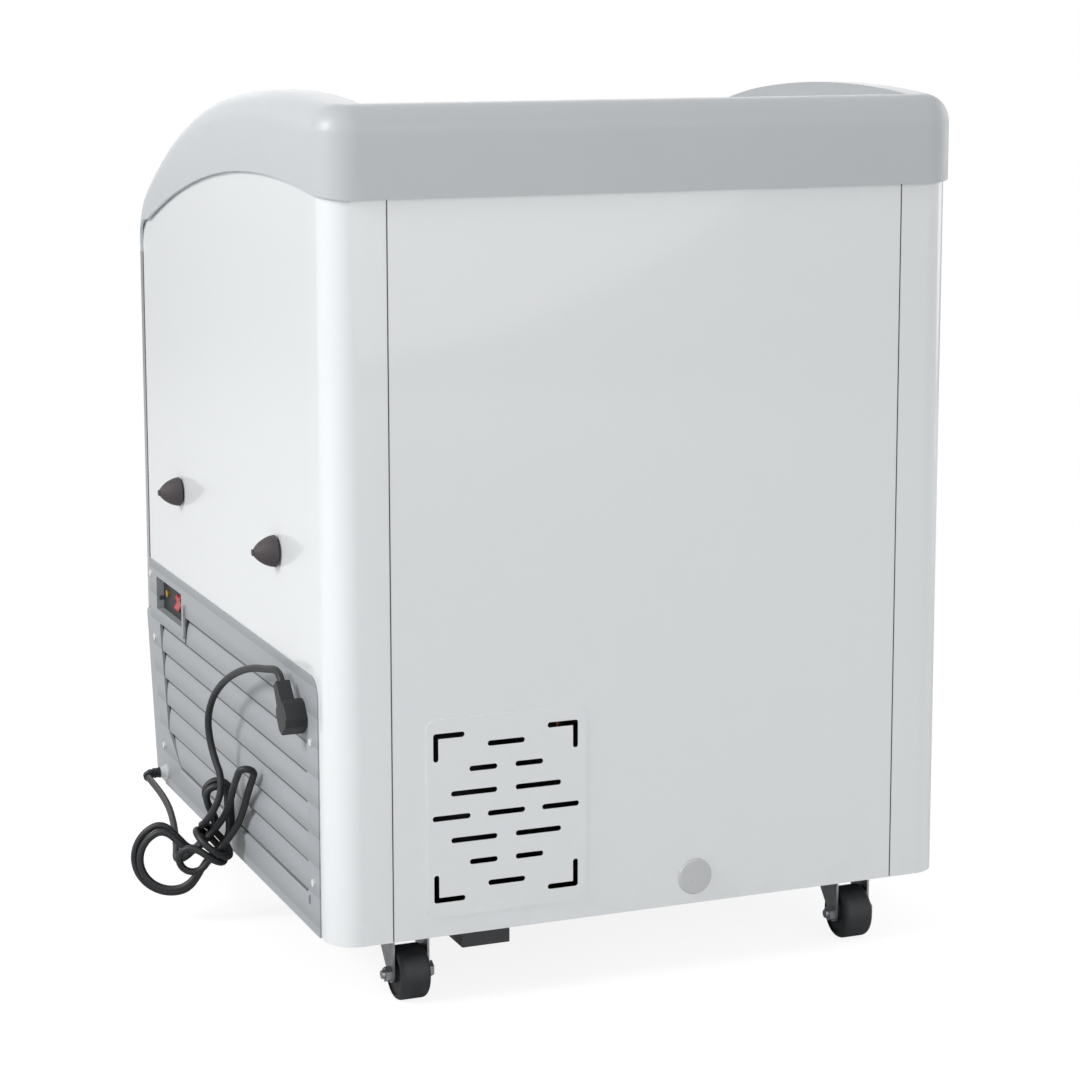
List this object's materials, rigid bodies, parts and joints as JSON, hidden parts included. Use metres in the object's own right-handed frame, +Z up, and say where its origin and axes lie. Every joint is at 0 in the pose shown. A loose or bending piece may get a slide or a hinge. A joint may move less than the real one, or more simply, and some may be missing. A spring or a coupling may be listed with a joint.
{
  "type": "chest freezer",
  "caption": "Chest freezer on castors with a raised curved plastic top frame, two curved sliding glass lids, a louvred compressor grille and a knotted mains cord.",
  "frame": {"origin": "on the floor, at the centre of the bounding box of the freezer without its cord", "axes": "+Z up; the front, with the leaning grille, faces -Y; the end with the compressor grille faces +X"},
  "size_m": [0.7256, 0.659, 0.8214],
  "materials": {
    "frame_plastic": "fine satin moulded plastic",
    "white_sheet": "gloss white paint on steel sheet",
    "grille_plastic": "satin grey moulded plastic",
    "port_cap": "semi-gloss pressed-in cap",
    "galvanised_sheet": "dull galvanised sheet",
    "black_sheet": "black stove paint",
    "liner_aluminium": "embossed aluminium sheet",
    "foam": "rigid polyurethane foam",
    "copper": "drawn copper tube",
    "zinc_plate": "bright zinc plating",
    "black_plastic": "black moulded plastic",
    "brass_plate": "brass-plated steel",
    "red_plastic": "red gloss plastic",
    "gland_nylon": "light grey nylon",
    "dark_rubber": "dark rubber",
    "lid_glass": "clear tempered glass",
    "coated_wire": "white coated wire",
    "fin_aluminium": "plain fin stock",
    "motor_steel": "zinc-plated motor can",
    "lamp_lens": "coloured lamp lens",
    "wheel_rubber": "black hard rubber",
    "cord_jacket": "black flexible jacket, satin"
  },
  "bodies": {
    "cabinet": {"base_pan": "galvanised_sheet", "caster_bolts": "zinc_plate", "caster_plates": "zinc_plate", "compressor": "black_sheet", "compressor_feet": "dark_rubber", "compressor_tray": "black_sheet", "condenser": "fin_aluminium", "control_plate": "black_plastic", "cord_gland": "gland_nylon", "cord_hank": "cord_jacket", "earth_screw": "brass_plate", "evaporator_coil": "copper", "fan_motor": "motor_steel", "fan_shroud": "black_plastic", "filter_drier": "copper", "foam_insulation": "foam", "foam_port_cap": "port_cap", "front_grille": "grille_plastic", "front_panel": "white_sheet", "front_track": "grille_plastic", "grille_screws": "zinc_plate", "indicator_lamps": "lamp_lens", "inner_liner": "liner_aluminium", "left_side_panel": "white_sheet", "mains_lead": "cord_jacket", "plug": "cord_jacket", "plug_lead": "cord_jacket", "rear_panel": "white_sheet", "rear_track": "grille_plastic", "refrigerant_pipes": "copper", "right_side_panel": "white_sheet", "side_grille": "grille_plastic", "switch_body": "black_plastic", "terminal_cover": "black_plastic", "thermostat_body": "black_plastic", "top_frame": "frame_plastic", "wall_spacers": "dark_rubber"},
    "upper_lid": {"upper_lid_glass": "lid_glass", "upper_lid_runners": "grille_plastic", "upper_lid_trims": "grille_plastic"},
    "lower_lid": {"lower_lid_glass": "lid_glass", "lower_lid_runners": "grille_plastic", "lower_lid_trims": "grille_plastic"},
    "basket_body": {"basket": "coated_wire"},
    "switch_rocker": {"rocker": "red_plastic"},
    "knob": {"thermostat_knob": "black_plastic"},
    "fan": {"fan_blades": "black_plastic"},
    "rear_left_swivel": {"rear_left_fork": "zinc_plate", "rear_left_axle": "zinc_plate"},
    "rear_left_roller": {"rear_left_wheel": "wheel_rubber"},
    "rear_right_swivel": {"rear_right_fork": "zinc_plate", "rear_right_axle": "zinc_plate"},
    "rear_right_roller": {"rear_right_wheel": "wheel_rubber"},
    "front_left_swivel": {"front_left_fork": "zinc_plate", "front_left_axle": "zinc_plate"},
    "front_left_roller": {"front_left_wheel": "wheel_rubber"},
    "front_right_swivel": {"front_right_fork": "zinc_plate", "front_right_axle": "zinc_plate"},
    "front_right_roller": {"front_right_wheel": "wheel_rubber"}
  },
  "joints": [
    {"name": "upper_lid_slide", "type": "slide", "parent": "cabinet", "child": "upper_lid", "axis": [-1, 0, 0], "range_m": [0, 0.235]},
    {"name": "lower_lid_slide", "type": "slide", "parent": "cabinet", "child": "lower_lid", "axis": [1, 0, 0], "range_m": [0, 0.235]},
    {"name": "basket_slide", "type": "slide", "parent": "cabinet", "child": "basket_body", "axis": [-1, 0, 0], "range_m": [0, 0.24]},
    {"name": "rocker_tilt", "type": "hinge", "parent": "cabinet", "child": "switch_rocker", "pos_m": [0.2904, -0.2055, 0.2735], "axis": [0, 1, 0], "range_deg": [0, 16]},
    {"name": "knob_turn", "type": "hinge", "parent": "cabinet", "child": "knob", "pos_m": [0.2055, -0.31102, 0.15], "axis": [0, -0.9834, -0.1817], "range_deg": [0, 270]},
    {"name": "fan_spin", "type": "hinge", "parent": "cabinet", "child": "fan", "pos_m": [0.1395, -0.1255, 0.15625], "axis": [0, 1, 0], "continuous": true},
    {"name": "rear_left_swivel_turn", "type": "hinge", "parent": "cabinet", "child": "rear_left_swivel", "pos_m": [-0.2365, 0.2725, 0.058], "axis": [0, 0, 1], "continuous": true},
    {"name": "rear_left_wheel_roll", "type": "hinge", "parent": "rear_left_swivel", "child": "rear_left_roller", "pos_m": [-0.2365, 0.2905, 0.025], "axis": [1, 0, 0], "continuous": true},
    {"name": "rear_right_swivel_turn", "type": "hinge", "parent": "cabinet", "child": "rear_right_swivel", "pos_m": [0.2175, 0.2725, 0.058], "axis": [0, 0, 1], "continuous": true},
    {"name": "rear_right_wheel_roll", "type": "hinge", "parent": "rear_right_swivel", "child": "rear_right_roller", "pos_m": [0.2175, 0.2905, 0.025], "axis": [1, 0, 0], "continuous": true},
    {"name": "front_left_swivel_turn", "type": "hinge", "parent": "cabinet", "child": "front_left_swivel", "pos_m": [-0.2365, -0.2515, 0.058], "axis": [0, 0, 1], "continuous": true},
    {"name": "front_left_wheel_roll", "type": "hinge", "parent": "front_left_swivel", "child": "front_left_roller", "pos_m": [-0.2365, -0.2695, 0.025], "axis": [1, 0, 0], "continuous": true},
    {"name": "front_right_swivel_turn", "type": "hinge", "parent": "cabinet", "child": "front_right_swivel", "pos_m": [0.2175, -0.2515, 0.058], "axis": [0, 0, 1], "continuous": true},
    {"name": "front_right_wheel_roll", "type": "hinge", "parent": "front_right_swivel", "child": "front_right_roller", "pos_m": [0.2175, -0.2695, 0.025], "axis": [1, 0, 0], "continuous": true}
  ]
}
